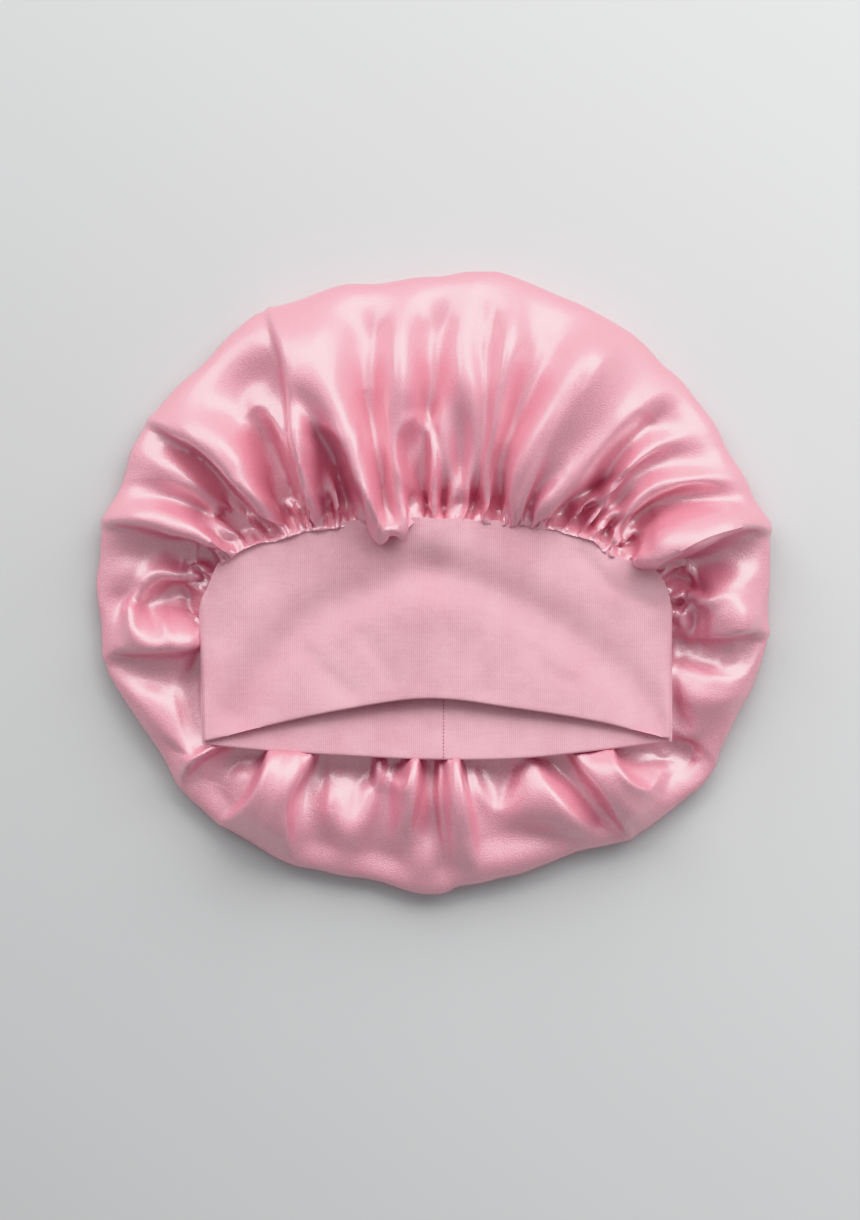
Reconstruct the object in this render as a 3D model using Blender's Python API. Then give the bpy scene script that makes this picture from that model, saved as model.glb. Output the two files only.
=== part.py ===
"""Sleep bonnet lying flat: a gathered satin crown on a wide, doubled jersey band.

The bonnet rests on z = 0 with the middle of its outline's box at the origin. +Y runs from the
opening of the band to the top of the crown, +X is to the right, and +Z is up. The tables and the
functions work in millimetres, and make_object turns them into metres.
"""

import math
from collections import namedtuple

import bmesh
import bpy

MM = 0.001

# Driving dimensions, in millimetres.
SATIN = 2.0  # wall of the crown, measured straight down on its upper side
JERSEY = 2.0  # wall of the band: jersey doubled over at the free edge
FIT_GAP = 0.7  # between the crown's edge and the band
BAND_BED = 14.5  # height of the band's underside, on the cloth of the crown
SIDE_GAP = 0.8  # inside the band at its two side folds
SEAM_GAP = 9.0  # inside the band at the gathered seam
MOUTH_GAP = 14.0  # inside the band at its free edge
NOSE = 3.2  # length of the rounded side folds of the band
BAND_HALF_WIDTH = 118.0
BAND_MIDDLE = 0.5
SEAM_RISE = 12.0  # the gathered edge stands this much higher on the front panel than on the back one
RIM_HEIGHT = 7.5  # where the crown reaches furthest out
ROLL = 9.0  # how far the crown's rim curls in before it lies on the floor

COLUMNS_PER_FOLD = 4
BAND_COLUMNS = 26  # along one panel
BAND_ROWS = 7

# One row for each crease of the crown, clockwise from the left side fold of the band. A crease runs
# from the gathered seam through a middle point to the outline. On the creases that start under the
# band, the middle point is where the cloth comes out from under it. puff is the height of the cloth
# between this crease and the next, and dip is the depth of the crease below it.
Fold = namedtuple("Fold", "seam_x seam_y mid_x mid_y rim_x rim_y puff dip")
FOLDS = [
    Fold(-118, -15, -121, -16, -169, -9, 22, 4),
    Fold(-115, -5, -142, -9, -170, -4, 26, 6),
    Fold(-110, 7, -139, 17, -169, 21, 31, 9),
    Fold(-104, 13, -133, 33, -165, 36, 33, 5),
    Fold(-91, 20, -114, 44, -158, 52, 33, 5),
    Fold(-75, 23, -109, 57, -144, 82, 38, 9),
    Fold(-66, 27, -86, 71, -115, 112, 38, 5),
    Fold(-59, 27, -72, 81, -86, 135, 41, 8),
    Fold(-44, 30, -54, 86, -59, 144, 41, 5),
    Fold(-28, 30, -31, 91, -31, 151, 42, 8),
    Fold(-8, 32, -8, 76, -8, 154, 40, 8),
    Fold(3, 31, 4, 91, 7, 156, 40, 4),
    Fold(20, 31, 25, 81, 27, 157, 41, 6),
    Fold(33, 29, 37, 81, 46, 152, 42, 7),
    Fold(45, 29, 64, 81, 98, 126, 41, 9),
    Fold(52, 28, 78, 61, 116, 109, 39, 5),
    Fold(63, 27, 91, 56, 131, 95, 37, 7),
    Fold(73, 24, 103, 56, 147, 72, 36, 5),
    Fold(82, 21, 111, 46, 156, 56, 36, 5),
    Fold(92, 12, 118, 38, 163, 41, 35, 6),
    Fold(111, 5, 136, 13, 170, 19, 28, 9),
    Fold(116, -3, 142, -5, 169, -1, 26, 4),
    Fold(120, -15, 123, -17, 169, -16, 25, 5),
    Fold(117, -19, 123, -35, 167, -34, 23, 8),
    Fold(108, -20, 123, -54, 159, -55, 24, 5),
    Fold(96, -18, 122, -79, 144, -87, 23, 5),
    Fold(78, -16, 104, -85, 128, -109, 24, 6),
    Fold(63, -15, 86, -88, 108, -123, 25, 5),
    Fold(48, -14, 66, -90, 94, -132, 25, 6),
    Fold(36, -13, 45, -91, 63, -140, 26, 5),
    Fold(26, -12, 29, -92, 36, -149, 25, 5),
    Fold(17, -12, 16, -92, 23, -152, 26, 6),
    Fold(5, -12, 5, -92, 9, -156, 25, 7),
    Fold(-7, -12, -7, -92, -9, -157, 25, 6),
    Fold(-19, -12, -19, -92, -26, -153, 24, 6),
    Fold(-32, -13, -31, -91, -44, -149, 25, 5),
    Fold(-47, -14, -48, -90, -62, -145, 24, 7),
    Fold(-62, -15, -66, -88, -79, -138, 25, 6),
    Fold(-79, -16, -84, -87, -104, -124, 24, 6),
    Fold(-94, -18, -103, -85, -125, -107, 23, 5),
    Fold(-106, -19, -119, -82, -142, -80, 23, 5),
    Fold(-113, -20, -121, -59, -158, -62, 22, 6),
    Fold(-116, -18, -121, -37, -166, -40, 22, 8),
]
RIGHT_SIDE = 22  # the crease at the right side fold: those after it start under the band

# The band's free edges, from its left corner to its right one: the front panel's edge is drawn up
# in the middle, and the back panel's shows below it.
Edge = namedtuple("Edge", "x front_y back_y")
BAND_EDGES = [
    Edge(-115, -79.5, -80.5),
    Edge(-86, -72, -83.5),
    Edge(-46, -63.5, -86),
    Edge(-2, -57.8, -88),
    Edge(43, -63, -87.5),
    Edge(83, -69.5, -83.5),
    Edge(119, -78, -79),
]


def spline(values, at, closed):
    """Catmull-Rom curve through evenly spaced values, at a position counted in values."""
    last = len(values) - 1
    row = math.floor(at)
    share = at - row

    def value(i):
        return values[i % len(values)] if closed else values[max(0, min(last, i))]

    a, b, c, d = (value(row + i) for i in (-1, 0, 1, 2))
    return b + share * (
        (c - a) / 2 + share * (a - 2.5 * b + 2 * c - d / 2 + share * (1.5 * (b - c) + (d - a) / 2))
    )


def smooth(x):
    """Eases from 0 to 1 as x does."""
    x = max(0.0, min(1.0, x))
    return x * x * (3 - 2 * x)


def fold_value(name, at):
    """One of the creases' columns at a position counted in creases."""
    return spline([getattr(fold, name) for fold in FOLDS], at, closed=True)


def edge_value(name, share):
    """One of the band's edge columns at a share of its width from the left corner."""
    values = [getattr(edge, name) for edge in BAND_EDGES]
    return spline(values, share * (len(values) - 1), closed=False)


def under_band(at):
    """1 on the creases that start under the band, 0 on those above it."""
    return max(0.0, min(1.0, at - RIGHT_SIDE + 1)) - max(0.0, at - len(FOLDS)) + max(0.0, 1 - at)


def crown_point(at, v):
    """Outer face of the crown's upper side: v is 0 at the seam, 1 at the middle points and 2 at the
    outline."""
    seam_x, seam_y = fold_value("seam_x", at), fold_value("seam_y", at)
    mid_x, mid_y = fold_value("mid_x", at), fold_value("mid_y", at)
    rim_x, rim_y = fold_value("rim_x", at), fold_value("rim_y", at)
    first, second = min(v, 1.0), max(v - 1.0, 0.0)
    x = seam_x + (mid_x - seam_x) * first + (rim_x - mid_x) * second
    y = seam_y + (mid_y - seam_y) * first + (rim_y - mid_y) * second

    under = under_band(at)
    lowest = BAND_BED - FIT_GAP - 0.3
    seam_z = lowest + SEAM_RISE * smooth((seam_y + 15) / 44) * (1 - under)
    rise = smooth((v - under) / (0.55 - 0.1 * under))
    drop_from = 0.85 + 0.45 * under
    fall = math.sqrt(1 - max(0.0, (v - drop_from) / (2 - drop_from)) ** 2.4)
    z = RIM_HEIGHT + (seam_z + (fold_value("puff", at - 0.5) - seam_z) * rise - RIM_HEIGHT) * fall

    row = math.floor(at)
    share = at - row
    dip, next_dip = FOLDS[row % len(FOLDS)].dip, FOLDS[(row + 1) % len(FOLDS)].dip
    crease = 1 - math.sin(math.pi * share) ** 0.75
    swell = smooth((v - under) / 0.25) * (1 - smooth((v - drop_from - 0.2) / (1.8 - drop_from)))
    return x, y, z - (dip + (next_dip - dip) * share) * crease * swell


def towards_middle(point, inset):
    """A plan point moved in from the outline."""
    x, y = point
    length = math.hypot(x, y)
    return x * (1 - inset / length), y * (1 - inset / length)


def crown_rows():
    """Rings of points of the crown: its outer face from the seam round the rim to the floor, and
    its inner face in the same order."""
    columns = [i / COLUMNS_PER_FOLD for i in range(len(FOLDS) * COLUMNS_PER_FOLD)]
    steps = [0.0, 0.18, 0.4, 0.7, 1.0, 1.22, 1.45, 1.67, 1.86]
    outer = [[crown_point(at, v) for at in columns] for v in steps]
    inner = [[(x, y, z - SATIN) for x, y, z in row] for row in outer]
    rim = [crown_point(at, 2.0)[:2] for at in columns]
    for inset, height in ((0.0, RIM_HEIGHT), (1.5, 3.0), (ROLL, 0.0)):
        outer.append([(*towards_middle(p, inset), height) for p in rim])
    for inset, height in ((SATIN, RIM_HEIGHT), (SATIN + 1.2, 4.2), (ROLL + 0.5, SATIN)):
        inner.append([(*towards_middle(p, inset), height) for p in rim])
    return outer, inner


def band_point(panel, share, t, wall):
    """A point of the band, wall millimetres in from its outer face. share runs from the left side
    fold to the right one, and t from the gathered seam to the free edge."""
    hidden = len(FOLDS) - RIGHT_SIDE
    at = share * RIGHT_SIDE if panel == "front" else len(FOLDS) - share * hidden
    seam_x, seam_y = fold_value("seam_x", at), fold_value("seam_y", at) - FIT_GAP
    x = seam_x + (edge_value("x", share) - seam_x) * t
    y = seam_y + (edge_value(panel + "_y", share) - seam_y) * t
    x = BAND_MIDDLE + (x - BAND_MIDDLE) * (1 - (FIT_GAP + wall) / BAND_HALF_WIDTH)

    arch = 0.1 + 0.6 * abs(2 * share - 1) ** 1.5  # the front panel is drawn in along an arch
    gap = SEAM_GAP + (MOUTH_GAP - SEAM_GAP) * smooth((t - arch) / 0.35)
    half = JERSEY + SIDE_GAP / 2 + gap / 2 * math.sin(math.pi * share) ** 0.9
    from_side = BAND_HALF_WIDTH * (1 - abs(2 * share - 1))
    nose = math.sqrt(1 - (1 - min(1.0, from_side / NOSE)) ** 2)
    side = 1 if panel == "front" else -1
    return x, y, BAND_BED + half + (half - wall) * nose * side


def band_loop(t, wall):
    """Ring of points round the band: along the front panel, then back along the back panel."""
    shares = [(1 - math.cos(math.pi * i / BAND_COLUMNS)) / 2 for i in range(BAND_COLUMNS + 1)]
    front = [band_point("front", share, t, wall) for share in shares[:-1]]
    return front + [band_point("back", share, t, wall) for share in shares[:0:-1]]


def strips(rows):
    """Quads between neighbouring rings of points."""
    count = len(rows[0])
    following = [(i + 1) % count for i in range(count)]
    return [
        (r * count + i, r * count + following[i], (r + 1) * count + following[i], (r + 1) * count + i)
        for r in range(len(rows) - 1)
        for i in range(count)
    ]


def make_object(name, points, faces, colour, roughness):
    """An object from points in millimetres, with its own material."""
    mesh = bmesh.new()
    corners = [mesh.verts.new((x * MM, y * MM, z * MM)) for x, y, z in points]
    for face in faces:
        mesh.faces.new([corners[i] for i in face])
    bmesh.ops.recalc_face_normals(mesh, faces=mesh.faces)
    data = bpy.data.meshes.new(name)
    mesh.to_mesh(data)
    mesh.free()
    data.shade_smooth()
    data.set_sharp_from_angle(angle=math.radians(60))
    material = bpy.data.materials.new(name)
    material.use_nodes = True
    shader = material.node_tree.nodes["Principled BSDF"]
    shader.inputs["Base Color"].default_value = (*colour, 1)
    shader.inputs["Roughness"].default_value = roughness
    data.materials.append(material)
    made = bpy.data.objects.new(name, data)
    bpy.context.scene.collection.objects.link(made)


def build_crown():
    """A soft bag of satin, one wall thick, with its mouth gathered to the band."""
    outer, inner = crown_rows()
    rows = outer[::-1] + inner
    count = len(rows[0])
    last = (len(rows) - 1) * count
    floors = [tuple(range(count)), tuple(range(last, last + count))]
    points = [point for row in rows for point in row]
    make_object("crown", points, strips(rows) + floors, (0.72, 0.28, 0.37), 0.35)


def build_band():
    """A flattened tube of doubled jersey, open at the seam and at its free edge."""
    steps = [i / BAND_ROWS for i in range(BAND_ROWS + 1)]
    rows = [band_loop(t, 0.0) for t in steps] + [band_loop(t, JERSEY) for t in steps[::-1]]
    points = [point for row in rows for point in row]
    faces = [tuple(i % len(points) for i in face) for face in strips([*rows, rows[0]])]
    make_object("band", points, faces, (0.75, 0.37, 0.45), 0.85)


def main():
    for thing in list(bpy.data.objects):
        bpy.data.objects.remove(thing)
    build_crown()
    build_band()


main()
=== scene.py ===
"""Looks of a satin sleep bonnet that lies flat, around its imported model.

Lengths are millimetres, and make_piece turns them into metres. px and py are pixels of the 860 by
1220 picture.
"""

import math
from collections import namedtuple

import bmesh
import bpy
import numpy as np
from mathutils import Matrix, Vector


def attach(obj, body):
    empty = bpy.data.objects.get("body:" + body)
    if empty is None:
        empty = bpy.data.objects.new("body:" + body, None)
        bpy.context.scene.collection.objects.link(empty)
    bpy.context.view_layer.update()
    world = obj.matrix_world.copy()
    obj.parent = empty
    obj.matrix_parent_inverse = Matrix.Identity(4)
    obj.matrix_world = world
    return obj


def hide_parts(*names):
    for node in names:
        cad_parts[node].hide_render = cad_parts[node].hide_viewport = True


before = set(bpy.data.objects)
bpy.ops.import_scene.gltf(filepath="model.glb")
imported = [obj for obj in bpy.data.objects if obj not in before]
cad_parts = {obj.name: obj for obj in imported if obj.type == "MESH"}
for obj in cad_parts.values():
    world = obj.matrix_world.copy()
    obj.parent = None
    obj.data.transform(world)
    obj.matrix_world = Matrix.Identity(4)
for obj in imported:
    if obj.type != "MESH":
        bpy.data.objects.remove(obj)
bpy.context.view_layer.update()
MM = 0.001
FAR = 1e9  # further than any distance that counts

# The camera looks straight down at the middle of the picture. On the plane SCALE_HEIGHT above the
# floor one pixel of the picture is PIXEL millimetres.
PIXEL = 0.5
MIDDLE_PX, MIDDLE_PY = 430.0, 610.0
CAMERA_X, CAMERA_Y = -1.75, -14.25
SCALE_HEIGHT = 8.0
CAMERA_RANGE = 1440.0  # from the camera down to that plane

RIM_HEIGHT = 7.5  # where the crown reaches furthest out
RIGHT_SIDE = 22  # the crease at the right side fold: those after it start under the band

# The crown's main creases, clockwise from the band's left side fold: x and y on the gathered seam,
# at a middle point and on the outline, and the height of the cloth up to the next crease. The
# middle point of a crease that starts under the band is where it comes out from under it.
FOLDS = np.array([
    (-111, -16, -134, -16, -169, -13, 22), (-113, -7, -138, -5, -170, 2, 26),
    (-110, 7, -139, 17, -169, 21, 31), (-104, 13, -133, 33, -165, 36, 33),
    (-91, 20, -114, 44, -158, 52, 33), (-75, 23, -109, 57, -144, 82, 38),
    (-66, 27, -86, 71, -115, 112, 38), (-59, 27, -72, 81, -86, 135, 41),
    (-44, 30, -54, 86, -59, 144, 41), (-28, 30, -31, 91, -31, 151, 42),
    (-8, 32, -8, 76, -8, 154, 40), (3, 31, 4, 91, 7, 156, 40),
    (20, 31, 25, 81, 27, 157, 41), (33, 29, 37, 81, 46, 152, 42),
    (45, 29, 64, 81, 98, 126, 41), (52, 28, 78, 61, 116, 109, 39),
    (63, 27, 91, 56, 131, 95, 37), (73, 24, 103, 56, 147, 72, 36),
    (82, 21, 111, 46, 156, 56, 36), (92, 12, 118, 38, 163, 41, 35),
    (111, 5, 136, 13, 170, 19, 28), (114, -6, 140, -5, 169, -1, 26),
    (113, -16, 136, -18, 169, -18, 25), (110, -19, 132, -36, 167, -36, 23),
    (108, -20, 128, -56, 159, -57, 24), (96, -18, 122, -79, 144, -87, 23),
    (78, -16, 104, -85, 128, -109, 24), (63, -15, 86, -88, 108, -123, 25),
    (48, -14, 66, -90, 94, -132, 25), (36, -13, 45, -91, 63, -140, 26),
    (26, -12, 29, -92, 36, -149, 25), (17, -12, 16, -92, 23, -152, 26),
    (5, -12, 5, -92, 9, -156, 25), (-7, -12, -7, -92, -9, -157, 25),
    (-19, -12, -19, -92, -26, -153, 24), (-32, -13, -31, -91, -44, -149, 25),
    (-47, -14, -48, -90, -62, -145, 24), (-62, -15, -66, -88, -79, -138, 25),
    (-79, -16, -84, -87, -104, -124, 24), (-94, -18, -103, -85, -125, -107, 23),
    (-106, -19, -119, -82, -142, -80, 23), (-107, -20, -126, -59, -158, -62, 22),
    (-109, -18, -130, -37, -166, -38, 22),
], float)

# The band's free edges: x, the front panel's y and the back panel's y, from the left corner.
BAND_EDGES = np.array([
    (-115.5, -79.5, -80.5), (-86, -72, -83.5), (-46, -63.5, -86), (-2, -57.8, -88),
    (43, -63, -87.5), (83, -69.5, -83.5), (119, -78, -79),
])

# The crown's outline in the picture, clockwise from the top.
OUTLINE_PX = [
    (440, 271), (460, 268), (480, 267), (497, 267), (510, 271), (530, 279), (550, 287), (580, 300),
    (600, 312), (620, 324), (635, 333), (650, 345), (665, 362), (680, 375), (690, 385), (700, 397),
    (710, 410), (720, 425), (730, 445), (740, 462), (750, 480), (757, 495), (765, 510), (772, 525),
    (775, 545), (773, 565), (771, 585), (770, 600), (771, 625), (772, 637), (766, 655), (760, 670),
    (750, 693), (740, 710), (730, 735), (722, 755), (718, 770), (705, 788), (690, 799), (670, 813),
    (650, 827), (640, 833), (630, 842), (620, 845), (600, 849), (580, 854), (560, 862), (540, 869),
    (520, 876), (500, 880), (480, 886), (458, 891), (450, 895), (440, 897), (420, 896), (400, 892),
    (380, 886), (360, 881), (330, 876), (300, 869), (280, 861), (265, 852), (250, 842), (230, 832),
    (215, 826), (200, 812), (185, 797), (175, 785), (160, 757), (140, 725), (120, 695), (107, 675),
    (102, 660), (100, 640), (98, 620), (94, 600), (92, 580), (94, 560), (97, 535), (100, 520),
    (110, 500), (118, 480), (122, 470), (128, 450), (135, 435), (143, 420), (150, 414), (160, 403),
    (180, 380), (200, 361), (220, 340), (245, 320), (255, 313), (266, 309), (280, 306), (300, 299),
    (320, 290), (335, 284), (350, 280), (380, 278), (400, 276), (420, 273),
]

# The band's top edge in the picture, from its left side fold to its right one.
SEAM_PX = [
    (197, 612), (201, 597), (206, 588), (212, 573), (217, 563), (225, 558), (240, 547), (256, 541),
    (270, 539), (290, 533), (300, 529), (320, 527), (340, 523), (355, 520), (370, 519), (390, 518),
    (408, 518), (420, 517), (440, 519), (460, 518), (480, 521), (495, 520), (505, 523), (515, 524),
    (525, 522), (540, 526), (560, 527), (570, 531), (590, 536), (600, 540), (612, 553), (620, 557),
    (640, 562), (650, 565), (659, 572), (666, 583), (671, 597), (674, 612),
]

# Edges where the crown's cloth lies over itself, its upper layer on the right: the distances in
# pixels over which the step fades above and below it, and points of px, py and the step.
EDGES = [
    (26, 20, [(313, 523, 2), (304, 498, 6), (296, 462, 8), (290, 431, 8), (285, 390, 7), (278, 350, 6),
        (268, 317, 6), (262, 300, 6)]),
    (24, 26, [(275, 534, 2), (256, 513, 6), (237, 493, 9), (218, 470, 10), (199, 453, 10), (175, 438, 9),
        (151, 424, 6), (128, 412, 3)]),
    (22, 26, [(232, 553, 1), (204, 547, 6), (180, 539, 9), (156, 531, 9), (132, 526, 8), (109, 525, 6),
        (90, 526, 4)]),
    (12, 16, [(308, 522, 2), (303, 506, 4), (294, 484, 5), (286, 462, 5), (277, 440, 4), (270, 424, 2),
        (264, 414, 0)]),
    (12, 16, [(374, 522, 3), (366, 503, 5), (358, 487, 5), (350, 470, 5), (342, 450, 5), (334, 437, 4),
        (318, 427, 1)]),
    (24, 26, [(790, 536, 5), (770, 533, 6), (749, 530, 8), (725, 534, 9), (700, 546, 10), (670, 561, 9),
        (650, 566, 6), (636, 560, 3)]),
    (20, 18, [(790, 636, 5), (770, 636, 6), (750, 635, 8), (722, 640, 8), (696, 641, 7), (672, 637, 4)]),
    (16, 10, [(670, 658, 3), (690, 664, 4), (708, 671, 4), (728, 674, 3), (746, 668, 2), (756, 656, 1)]),
    (24, 20, [(202, 649, 4), (180, 653, 7), (150, 655, 9), (125, 655, 9), (108, 660, 7), (92, 666, 5)]),
    (18, 16, [(246, 740, 3), (228, 745, 6), (210, 754, 8), (195, 765, 8), (186, 778, 5), (184, 792, 0)]),
    (20, 16, [(216, 824, 1), (232, 813, 4), (246, 799, 7), (256, 781, 8), (263, 763, 8), (269, 744, 6)]),
    (24, 18, [(320, 746, 7), (314, 762, 10), (304, 778, 10), (293, 796, 8), (290, 814, 5), (292, 840, 2),
        (295, 860, 0)]),
    (14, 12, [(374, 792, 0), (375, 778, 4), (374, 762, 6), (373, 746, 5)]),
    (14, 8, [(421, 746, 5), (421, 775, 6), (419, 795, 6), (415, 812, 4), (409, 836, 0)]),
    (12, 10, [(447, 886, 1), (444, 858, 3), (439, 830, 5), (436, 800, 6), (436, 775, 6), (438, 746, 5)]),
    (16, 16, [(459, 744, 6), (462, 768, 8), (467, 793, 8), (471, 815, 6), (475, 838, 2)]),
    (22, 14, [(640, 856, 3), (628, 840, 5), (613, 816, 7), (600, 795, 8), (582, 772, 7), (566, 748, 5)]),
    (16, 12, [(614, 742, 5), (617, 760, 6), (627, 774, 5), (640, 783, 2)]),
    (16, 12, [(722, 774, 1), (708, 754, 4), (692, 743, 6), (670, 737, 5)]),
]

# Narrow ridges and creases: height, half width in pixels, and points of px, py and the share of the
# height, where it isn't 1.
LINES = [
    (-3.5, 9, [(362, 388, .2), (366, 402, .7), (372, 425), (376, 452), (380, 480), (386, 502, .8),
        (392, 516, .5)]),
    (-3, 8, [(484, 352, .2), (486, 395, .8), (485, 425), (481, 458), (477, 482), (473, 508, .6)]),
    (-3, 9, [(300, 434, .2), (318, 438, .8), (330, 452), (338, 472), (346, 494), (354, 512, .8),
        (360, 522, .4)]),
    (-3, 6, [(404, 440, .5), (407, 460), (414, 480), (420, 497, .8), (422, 512, .6)]),
    (-3, 6, [(424, 436, .5), (426, 460), (427, 488), (427, 510, .6)]),
    (-3.5, 6, [(424, 395, .2), (431, 420, .8), (438, 445), (441, 470), (441, 495, .8), (443, 512, .5)]),
    (-2.5, 8, [(462, 415, .3), (461, 440, .9), (460, 465), (459, 490, .6)]),
    (-3, 5, [(499, 448, .3), (493, 464), (490, 482), (489, 505, .8)]),
    (-3, 5, [(504, 478, .6), (503, 495), (501, 512, .7)]),
    (-3, 14, [(531, 310, .4), (526, 350, .8), (518, 390), (512, 425), (506, 450, .8), (503, 470, .4)]),
    (-3, 14, [(575, 380, .3), (560, 405, .8), (547, 435), (533, 465), (520, 490, .8), (514, 508, .3)]),
    (-4, 11, [(648, 414, 0), (641, 424, .6), (627, 444), (615, 462), (604, 480), (589, 496),
        (574, 510, .7)]),
    (-4, 15, [(700, 484, 0), (672, 488, .7), (652, 496), (640, 508), (632, 522, .9), (626, 538, .6)]),
    (-2.5, 5, [(240, 490, .4), (248, 506), (257, 522), (266, 537, .6)]),
    (-2, 8, [(214, 503, .5), (226, 510), (237, 521), (245, 536, .7)]),
    (3.5, 10, [(176, 568, .4), (152, 573, .9), (136, 589), (129, 611), (134, 631), (149, 644),
        (166, 645, .8), (180, 640, .3)]),
    (-3.5, 9, [(178, 584, .5), (163, 590), (153, 602), (152, 616), (158, 630, .7)]),
    (2, 6, [(172, 604, .5), (165, 613), (164, 626), (170, 636, .5)]),
    (-3, 6, [(160, 588, .3), (172, 597), (181, 606), (196, 607, .8)]),
    (-2.5, 5, [(193, 556, .5), (195, 566), (203, 574), (211, 573, .6)]),
    (-2.5, 5, [(187, 573, .5), (190, 582), (198, 588), (206, 587, .6)]),
    (-3, 6, [(674, 606, .8), (685, 609), (693, 618), (695, 632, .4)]),
    (-2.5, 9, [(676, 656, .8), (692, 657), (712, 656, .8), (734, 650, .3)]),
    (-2.4, 4, [(442, 744), (442, 780), (443, 810), (447, 850), (449, 884, .6)]),
    (-3, 13, [(397, 744), (400, 758), (401, 768, .5)]),
    (-3, 10, [(478, 744), (484, 760, .8), (494, 770, .3)]),
    (-2.5, 14, [(504, 748), (506, 770), (508, 792, .5)]),
    (-3, 14, [(344, 744), (342, 762, .9), (338, 780, .5)]),
    (-3, 12, [(552, 748, .8), (562, 768), (580, 792), (600, 818, .7)]),
    (-2.5, 10, [(590, 744), (590, 754, .7)]),
    (2.5, 9, [(527, 519, .3), (542, 501, .8), (563, 480), (585, 460), (608, 438), (631, 416, .7),
        (655, 398, .3)]),
    (2.5, 7, [(316, 424, .4), (330, 432, .9), (341, 444), (349, 464), (357, 481), (365, 494), (370, 510),
        (378, 523), (388, 530), (398, 527, .8), (405, 516, .5)]),
    (2.5, 7, [(244, 420, .3), (255, 406, .8), (269, 411), (282, 430), (292, 456), (300, 482), (307, 506),
        (313, 522, .6)]),
    (2.5, 7, [(415, 418, .5), (403, 426, .9), (395, 444), (397, 466), (406, 482), (417, 492, .9),
        (420, 505, .5)]),
    (2.5, 7, [(413, 419, .5), (425, 424, .9), (431, 440), (434, 468), (434, 498, .9), (433, 514, .5)]),
    (2, 6, [(176, 607, .4), (184, 613), (197, 611, .8)]),
    (4.5, 10, [(380, 750, .8), (385, 770), (396, 786), (403, 788), (412, 772), (417, 750, .7)]),
    (3.5, 10, [(470, 750, .8), (475, 775), (485, 798), (497, 810, .8), (510, 800, .5), (520, 776, .4)]),
    (4.5, 9, [(615, 746, .8), (620, 768), (634, 785), (650, 787), (661, 770, .8), (660, 748, .6)]),
    (2, 9, [(529, 752, .8), (542, 778), (560, 802), (578, 820, .6)]),
]

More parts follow.
